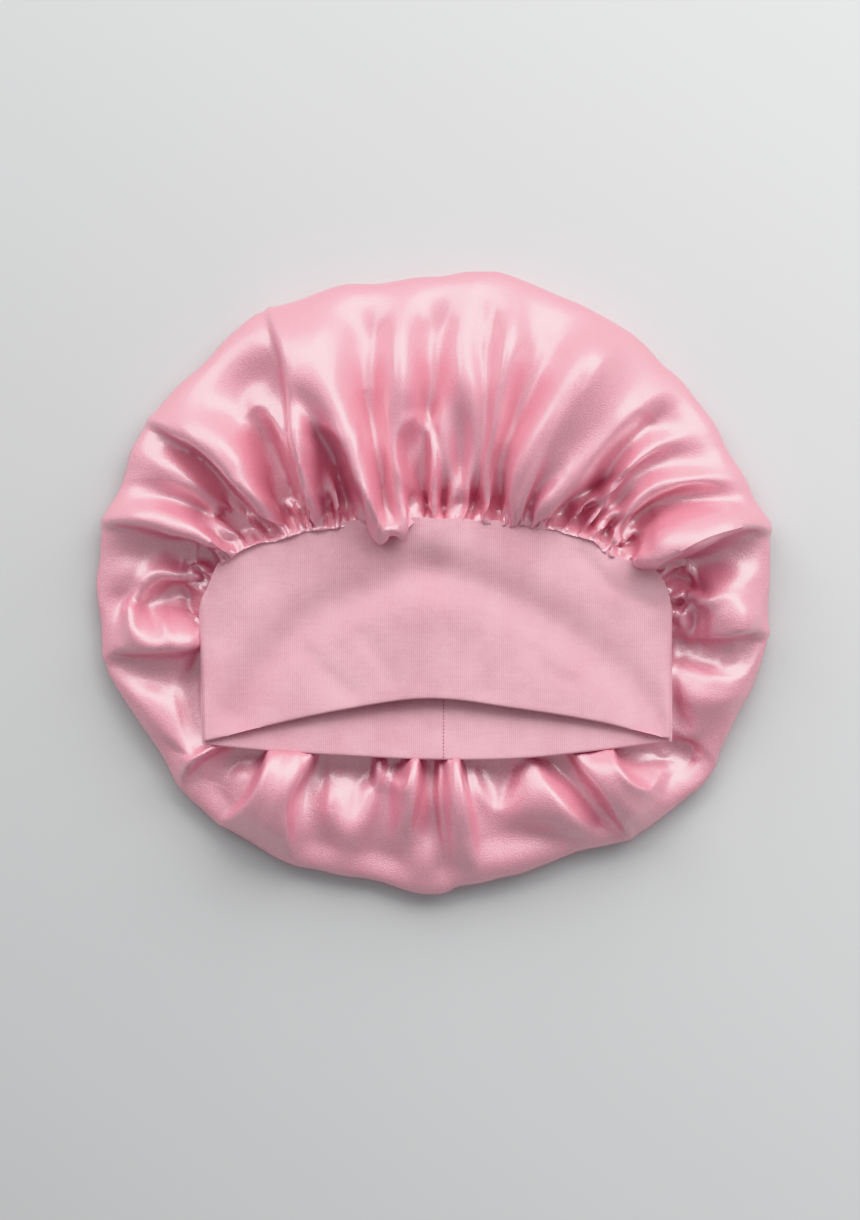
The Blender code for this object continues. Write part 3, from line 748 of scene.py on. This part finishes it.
def folded_crown(base, from_seam, from_rim, under):
    """The crown's cloth with its folds, before it settles."""
    px, py = to_picture(base)
    depth = depth_under_band(base)
    seen = (under <= 0.5)[None] | (depth <= 6)
    mean = blend(*MEAN_FOLD, under)
    folds = np.zeros(px.shape) + mean
    folds[seen] = fold_heights(px[seen], py[seen])
    for reach, times in EVEN:  # the further from the seam, the broader
        folds += (even_out(folds, times) - folds) * smooth((from_seam - reach) / 20)
    folds[seen] += EDGE_FIRST * edge_steps(px[seen], py[seen])
    shown = np.where(under[None] > 0.5, smooth((5 - depth) / 7), 1)
    strength = smooth(from_seam / 6) * (0.2 + 0.8 * smooth(from_rim / blend(*FADE, under))) * shown
    pleat = 1.2 * gathers(base[0, :, :2], from_seam) * (1 - under)
    off = (folds - mean) * strength + pleat * smooth(from_seam / 3)
    gain = blend(*FOLD_GAIN, under) - FLATTER * smooth((from_seam - 8) / 50)
    return base + normals(base) * (gain * off)[:, :, None]


def finish_folds(points, base, from_seam, under):
    """What the settled cloth still lacks: it is evened out along its folds and gathered finely at
    the seam, broad folds hang over the band's top edge, and its overlaps get their full steps."""
    points = points.copy()
    share = 0.5 * smooth((from_seam - 8) / 12)[1:-1, :, None]
    points[1:-1] += share * ((points[2:] + points[:-2]) / 2 - points[1:-1])
    seam_px = to_picture(points)[0][0]
    pleat = gathers(base[0, :, :2], from_seam) * (1 - under)
    points[..., 2] += GATHER * pleat * smooth(from_seam / 1.5)
    near = from_seam / 4.0
    shift = 1.2 * pleat * near * np.exp(1 - near)
    near = from_seam / 7.0
    for place, amount, half_width in OVERHANGS:
        among = np.sqrt(np.maximum(1 - ((seam_px - place) / half_width) ** 2, 0))[None]
        out = amount * among * near * np.exp(1 - near)
        shift = shift + out
        if amount > TONGUE:
            dome = BAND_TOP + among * (1.5 + 7 * np.minimum(near / 1.2, 1))
            share = smooth(3 * among) * smooth((2.6 - near) / 1.8) * (under < 0.5)
            points[..., 2] += share * (dome - points[..., 2])
        else:
            points[..., 2] += 0.4 * out
    outward = unit(base[8, :, :2] - base[0, :, :2])
    points[..., :2] -= outward * (shift * (1 - under))[..., None]
    seen = (under[None] < 0.5) | (depth_under_band(points) < 0)
    px, py = to_picture(points[seen])
    steps = (1 - EDGE_FIRST) * edge_steps(px, py) + line_heights(px, py)
    points[seen, 2] += steps * smooth((points[seen, 2] - 6) / 10)
    points[..., 2] = np.clip(points[..., 2], FLOOR_GAP, CROWN_TOP)
    return points


# ---- pieces

SHARP = math.radians(70)  # edges with a wider angle than this aren't shaded smoothly
GRID = 4  # columns of the crown's outer face for each of the inner one


def quads(rows, columns, first=0, ring=False):
    """Faces of a grid that closes round its columns, and as a ring also round its rows."""
    r, c = np.meshgrid(np.arange(rows if ring else rows - 1), np.arange(columns), indexing="ij")
    here, below, ahead = r * columns, (r + 1) % rows * columns, (c + 1) % columns
    faces = np.stack([here + c, here + ahead, below + ahead, below + c], -1)
    return (faces.reshape(-1, 4) + first).tolist()


def closed_shell(outer, inner):
    """A closed wall of outer rows and of inner rows with a GRID-th of their columns, joined along
    their first rows and closed at the middle of the floor."""
    fine, coarse = outer.shape[1], inner.shape[1]
    points = np.vstack([outer.reshape(-1, 3), inner.reshape(-1, 3)])
    start, end = outer.shape[0] * fine, len(points)
    faces = quads(len(outer), fine) + [face[::-1] for face in quads(len(inner), coarse, start)]
    for j in range(coarse):
        c, d = start + j, start + (j + 1) % coarse
        f = [(j * GRID + k) % fine for k in range(GRID + 1)]
        faces += [[f[k + 1], f[k], c if k < GRID // 2 else d] for k in range(GRID)]
        faces.append([f[GRID // 2], c, d])
    faces += [list(range(start - 1, start - fine - 1, -1)), list(range(end - coarse, end))]
    return points, faces


def new_object(name, data):
    made = bpy.data.objects.new(name, data)
    bpy.context.scene.collection.objects.link(made)
    return made


def make_piece(name, points, faces, material, slot, node=None):
    """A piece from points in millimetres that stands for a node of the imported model."""
    data = bpy.data.meshes.new(name)
    data.from_pydata((np.asarray(points) * MM).tolist(), [], faces)
    mesh = bmesh.new()
    mesh.from_mesh(data)
    bmesh.ops.recalc_face_normals(mesh, faces=mesh.faces)
    mesh.to_mesh(data)
    mesh.free()
    data.shade_smooth()
    data.set_sharp_from_angle(angle=SHARP)
    data.materials.append(material)
    made = new_object(name, data)
    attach(made, "root")
    if node:
        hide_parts(node)
    return made


INNER_ROWS = 7  # rows of the outer face for each of the inner one
LINING = 1.6  # from the lowest cloth down to the inner face
# Rings of the crown's underside and of its inner floor: share of the way out from the middle, inset
# from the outline, and height.
UNDERSIDE = [(1, 0.5, 5.0), (1, 1.8, 2.6), (1, 4.2, 0.9), (1, 8.5, 0.3), (0.8, 8.5, 0.3),
             (0.55, 8.5, 0.3), (0.3, 8.5, 0.3), (0.08, 8.5, 0.3)]
INNER_FLOOR = [(1, 3.0, 3.2), (1, 9.0, 1.0), (0.6, 9.0, 1.0), (0.1, 9.0, 1.0)]


def rings(rim, table):
    size = np.linalg.norm(rim[:, :2], axis=1)[:, None]
    return [np.column_stack([rim[:, :2] * (1 - inset / size) * share, np.full(len(rim), height)])[None]
            for share, inset, height in table]


def build_crown(material):
    base, from_seam, from_rim, under = base_surface()
    folded = folded_crown(base, from_seam, from_rim, under)
    points = finish_folds(settle(base, folded, from_seam, under), base, from_seam, under)
    rim = points[-1]
    outer = np.vstack([points, *rings(rim, UNDERSIDE)])

    # the inside follows the lowest parts of the folds
    low = points[:, :, 2].copy()
    for _ in range(7):
        low = np.minimum(low, np.minimum(turned(low, 1), turned(low, -1)))
        low[1:-1] = np.minimum(low[1:-1], np.minimum(low[2:], low[:-2]))
    low = even_out(low, 6) - LINING
    inner = base[::INNER_ROWS, ::GRID].copy()
    inner[:, :, 2] = np.maximum(np.minimum(low[::INNER_ROWS, ::GRID], inner[:, :, 2] - 2), 1.5)
    inner[0] = points[0, ::GRID] - np.array([0, 0, 0.8])
    inner = np.vstack([inner[:-1], *rings(rim[::GRID], INNER_FLOOR)])
    return make_piece("crown_satin", *closed_shell(outer, inner), material, "satin", "crown")


# ---- the band

JERSEY = 1.8  # doubled jersey
LEAST_HALF = JERSEY + 0.4  # half the band's thickness at its side folds
BAND_COLUMNS = 130
BAND_ROWS = 60
# Heights that the picture's seam line and the band's two free edges are seen at.
TOP_SEEN, FRONT_SEEN, BACK_SEEN = 27.0, 30.0, 17.0
HALF_BAND = 118.0  # half the band's width, over which its panels meet at the side folds
SIDE_FOLD = 3.2  # how far from a side fold the panels curve round
BACK_SEAM_Y = -16.0  # where the back panel meets the crown
MIDDLE_HEIGHT, MIDDLE_RISE = 14.5, 4.0  # of the band's middle at the seam, and on to its free edge
HALF_THICK, HALF_THINNER = 6.7, 3.5  # half its thickness at the seam, and the loss on the way
# Soft creases of the band's front: depth in millimetres, half width in pixels, points in pixels.
CREASES = [
    (3.2, 22, [(238, 712), (262, 670), (292, 634), (328, 608), (372, 588), (412, 574), (430, 571)]),
    (3.2, 22, [(430, 571), (472, 583), (520, 604), (562, 630), (600, 657), (636, 692), (658, 720)]),
    (1.0, 9, [(582, 556), (600, 576), (622, 592), (652, 606)]),
    (0.8, 10, [(308, 655), (330, 678), (352, 694)]),
    (0.6, 9, [(362, 636), (378, 656), (390, 680)]),
    (0.6, 12, [(268, 575), (240, 605), (222, 640)]),
    (0.5, 10, [(478, 620), (474, 655), (484, 690)]),
    (0.5, 9, [(530, 650), (548, 668), (574, 682)]),
]
PUCKERS, PUCKER_GAPS, FIRST_PUCKER = 80, (4.0, 9.0), 130  # how many, and how far left they start
PUCKER, PUCKER_WIDTH = 0.7, 1.9  # depth and half width
BACK_SEAM_PX = 443.5
STITCH = 1.7  # from one stitch of the back seam to the next
STITCH_RINGS = ((-1, 0.35), (-0.6, 0.9), (0, 1.0), (0.6, 0.9), (1, 0.35))  # along it, and size
STITCH_SIDES = 6
STITCH_HALF = (0.26, 0.55, 0.2)  # half its width, length and height


def band_points(wall):
    """The band's two panels, wall millimetres in from their outer faces, as one closed loop."""
    turn = np.cos(np.linspace(0, math.pi, BAND_COLUMNS + 1))
    share = 0.5 - 0.5 * turn * (0.75 + 0.25 * turn ** 2)
    share = np.concatenate([share[:-1], share[:0:-1]])
    front = np.arange(len(share)) < BAND_COLUMNS
    t = np.linspace(0, 1, BAND_ROWS + 1)[:, None]
    line = plan_line(SEAM_PX, TOP_SEEN, 6)
    top_x = blend(line[0, 0], line[-1, 0], share)
    top_y = np.where(front, np.interp(top_x, line[:, 0], line[:, 1]), BACK_SEAM_Y + 3 * (2 * share - 1) ** 2)
    edge = spline(BAND_EDGES, share * (len(BAND_EDGES) - 1))
    scale = 1 - (np.where(front, FRONT_SEEN, BACK_SEEN) - SCALE_HEIGHT) / CAMERA_RANGE
    x = blend(top_x, blend(CAMERA_X, edge[:, 0], scale), t)
    y = blend(top_y, blend(CAMERA_Y, np.where(front, edge[:, 1], edge[:, 2]), scale), t)
    low, high = x.min(1)[:, None], x.max(1)[:, None]
    x = blend((high + low) / 2, x, 1 - wall / ((high - low) / 2))
    opened = smooth((t - 0.3) / 0.7)
    half = blend(LEAST_HALF, HALF_THICK - HALF_THINNER * opened, np.sin(math.pi * share) ** 0.9)
    from_side = HALF_BAND * (1 - np.abs(2 * share - 1))
    nose = np.sqrt(1 - (1 - np.minimum(1, from_side / SIDE_FOLD)) ** 2)
    z = MIDDLE_HEIGHT + MIDDLE_RISE * opened + half + (half - wall) * nose * np.where(front, 1, -1)
    return np.dstack([x, y, z])


def dents(outer):
    """Height that creases add to the band's front, and the puckers that the gathers pull into it
    next to the seam."""
    px, py = to_picture(outer)
    dent = np.zeros(px.shape)
    for depth, half_width, points in CREASES:
        off = nearest_on(curve(points, 6 * len(points)), px.ravel(), py.ravel())[1].reshape(px.shape)
        dent -= depth * np.exp(-((off / half_width) ** 2))
    rng = np.random.default_rng(11)
    marks = np.cumsum(rng.uniform(*PUCKER_GAPS, PUCKERS)) - FIRST_PUCKER
    from_top = outer[0, :, 1] - outer[:, :, 1]
    for place, amount in zip(marks, rng.uniform(0.3, 1.0, PUCKERS)):
        across = ((outer[:, :, 0] - place) / PUCKER_WIDTH) ** 2
        dent -= PUCKER * amount * np.exp(-across - from_top / (3 + 6 * amount))
    front = np.arange(outer.shape[1]) < BAND_COLUMNS
    return dent * (front * smooth((px - 198) / 22) * smooth((674 - px) / 22))


def build_stitches(inner, thread):
    """The back panel's seam: stitches that lie on the inner face of the band."""
    seam_x = from_picture(BACK_SEAM_PX, 730.0, 20.0)[0]
    back = np.arange(inner.shape[1]) > BAND_COLUMNS
    line = inner[::-1, int(np.where(back, np.abs(inner[-1, :, 0] - seam_x), FAR).argmin())]
    points, faces = [], []
    for y in np.arange(line[0, 1] + 0.6, -40.0, STITCH):
        z = np.interp(y, line[:, 1], line[:, 2])
        first = len(points)
        for share, size in STITCH_RINGS:
            for angle in np.arange(STITCH_SIDES) * math.tau / STITCH_SIDES:
                points.append((seam_x + 0.12 * share + STITCH_HALF[0] * size * math.cos(angle),
                               y + STITCH_HALF[1] * share,
                               z + 0.04 + STITCH_HALF[2] * size * math.sin(angle)))
        last = len(points)
        faces += quads(len(STITCH_RINGS), STITCH_SIDES, first)
        faces += [list(range(first, first + STITCH_SIDES))[::-1], list(range(last - STITCH_SIDES, last))]
    make_piece("band_stitches", points, faces, thread, "jersey")


def build_band(material, thread):
    outer, middle, inner = (band_points(share * JERSEY) for share in (0, 0.5, 1))
    dent = dents(outer)
    outer[:, :, 2] += dent
    inner[:, :, 2] += dent
    rows = [outer]
    for angle in np.radians((30, 60, 90, 120, 150)):  # round the free edge
        out = blend(middle[-1], outer[-1], math.cos(angle))
        rows.append((out - np.array([0, JERSEY / 2 * math.sin(angle), 0]))[None])
    grid = np.vstack([*rows, inner[::-1]])
    faces = quads(*grid.shape[:2], ring=True)
    made = make_piece("band_jersey", grid.reshape(-1, 3), faces, material, "jersey", "band")
    build_stitches(inner, thread)
    return made


# ---- materials

def plug(node, inputs):
    """Sets a node's inputs, by name or number, or links them to another node's output."""
    for key, value in inputs.items():
        if isinstance(value, bpy.types.NodeSocket):
            node.id_data.links.new(value, node.inputs[key])
        else:
            node.inputs[key].default_value = value


def add(tree, kind, inputs, output=0, **settings):
    """The output of a new node."""
    node = tree.nodes.new("ShaderNode" + kind)
    for key, value in settings.items():
        setattr(node, key, value)
    plug(node, inputs)
    return node.outputs[output]


def calculate(tree, operation, *values):
    return add(tree, "Math", dict(enumerate(values)), operation=operation)


def noise(tree, where, scale, detail, roughness=0.5):
    inputs = {"Vector": where, "Scale": scale, "Detail": detail, "Roughness": roughness}
    return add(tree, "TexNoise", inputs, "Fac")


def bump(tree, height, strength, distance):
    return add(tree, "Bump", {"Height": height, "Strength": strength, "Distance": distance}, "Normal")


def ramp(tree, factor, *stops):
    result = add(tree, "ValToRGB", {0: factor}, "Color")
    for element, (position, colour) in zip(result.node.color_ramp.elements, stops):
        element.position = position
        element.color = (*colour, 1)
    return result


def new_material(name):
    material = bpy.data.materials.new(name)
    material.use_nodes = True
    return material, material.node_tree


def shade(material, inputs):
    plug(material.node_tree.nodes["Principled BSDF"], inputs)
    return material


def satin_material():
    material, tree = new_material("dusty_pink_satin")
    where = add(tree, "TexCoord", {}, "Object")
    broad = noise(tree, where, 14.0, 3.0)
    grain = noise(tree, where, 1700.0, 1.0, 0.6)
    colours = {
        "Color1": ramp(tree, broad, (0.3, (0.80, 0.275, 0.367)), (0.7, (0.84, 0.305, 0.397))),
        "Color2": ramp(tree, grain, (0.35, (0.86, 0.68, 0.74)), (0.6, (1.0, 1.0, 1.0))),
    }
    return shade(material, {
        "Base Color": add(tree, "MixRGB", {"Fac": 1.0, **colours}, "Color", blend_type="MULTIPLY"),
        "Roughness": add(tree, "MapRange", {"Value": grain, "To Min": 0.38, "To Max": 0.48}, "Result"),
        "Normal": bump(tree, grain, 1.0, 0.00035),
        "IOR": 1.9,
        "Specular IOR Level": 1.0,
        "Coat Weight": 1.0,
        "Coat IOR": 2.15,
        "Coat Roughness": 0.30,
    })


def jersey_material():
    material, tree = new_material("dusty_pink_jersey")
    where = add(tree, "TexCoord", {}, "Object")
    broad = noise(tree, where, 30.0, 4.0, 0.6)
    streaks = add(tree, "Mapping", {"Vector": where, "Scale": (90.0, 700.0, 90.0)}, "Vector")
    streaks = noise(tree, streaks, 1.0, 3.0)
    wale = add(tree, "TexWave", {"Vector": where, "Scale": 310.0, "Distortion": 0.6, "Detail": 2.0}, "Fac",
               wave_type="BANDS", bands_direction="X")
    fine = noise(tree, where, 1100.0, 2.0)
    mixed = broad
    for part, share in ((wale, 0.12), (streaks, 0.22), (fine, 0.4)):
        mixed = calculate(tree, "MULTIPLY_ADD", part, share, mixed)
    mixed = calculate(tree, "MULTIPLY", mixed, 0.5)
    return shade(material, {
        "Base Color": ramp(tree, mixed, (0.3, (0.665, 0.34, 0.395)), (0.55, (0.815, 0.49, 0.55))),
        "Normal": bump(tree, calculate(tree, "ADD", wale, fine), 0.25, 0.0003),
        "Roughness": 0.85,
        "Specular IOR Level": 0.2,
        "Sheen Weight": 0.15,
        "Sheen Roughness": 0.5,
        "Sheen Tint": (1.0, 0.85, 0.9, 1),
    })


def thread_material():
    return shade(new_material("pink_thread")[0], {"Base Color": (0.55, 0.15, 0.21, 1), "Roughness": 0.7})


def floor_material():
    material, tree = new_material("pale_floor")
    where = add(tree, "TexCoord", {}, "Object")
    # Painted light falloff: the floor's colour is painted lighter towards the upper right and darker towards
    # the lower left, as the lamps' light falls across it.
    painted_light_falloff = 0.45
    for axis, share in (("X", 0.55), ("Y", 0.3)):
        along = add(tree, "SeparateXYZ", {"Vector": where}, axis)
        painted_light_falloff = calculate(tree, "MULTIPLY_ADD", along, share, painted_light_falloff)
    return shade(material, {
        "Base Color": ramp(tree, painted_light_falloff, (0.2, (0.51, 0.51, 0.5075)), (0.8, (0.71, 0.71, 0.707))),
        "Roughness": 0.7,
        "Specular IOR Level": 0.2,
    })


# ---- camera, floor and light

FLOOR_SIZE = 6.0  # metres from its middle to its edges


def build_camera():
    data = bpy.data.cameras.new("camera")
    data.lens = 85
    data.sensor_width = 36
    camera = new_object("camera", data)
    camera.location = (CAMERA_X * MM, CAMERA_Y * MM, (CAMERA_RANGE + SCALE_HEIGHT) * MM)
    bpy.context.scene.camera = camera


def build_stage():
    data = bpy.data.meshes.new("floor")
    corners = [(x * FLOOR_SIZE, y * FLOOR_SIZE, 0) for x, y in ((-1, -1), (1, -1), (1, 1), (-1, 1))]
    data.from_pydata(corners, [], [(0, 1, 2, 3)])
    data.materials.append(floor_material())
    floor = new_object("floor", data)


def area_light(name, place, target, size, power):
    data = bpy.data.lights.new(name, "AREA")
    data.shape = "RECTANGLE"
    data.size, data.size_y = size
    data.energy = power
    light = new_object(name, data)
    light.location = place
    light.rotation_euler = (Vector(target) - Vector(place)).to_track_quat("-Z", "Y").to_euler()


def build_light():
    world = bpy.data.worlds.new("world")
    world.use_nodes = True
    plug(world.node_tree.nodes["Background"], {"Color": (0.95, 0.97, 1.0, 1), "Strength": 0.46})
    bpy.context.scene.world = world
    bpy.context.scene.view_settings.view_transform = "Khronos PBR Neutral"
    area_light("key", (1.6, 2.5, 1.7), (0, 0, 0), (3.7, 2.5), 131.0)
    area_light("side", (-1.4, 2.5, 1.6), (0, 0, 0.02), (3.0, 2.4), 76.0)


build_camera()
build_stage()
build_light()
crown = build_crown(satin_material())
band = build_band(jersey_material(), thread_material())
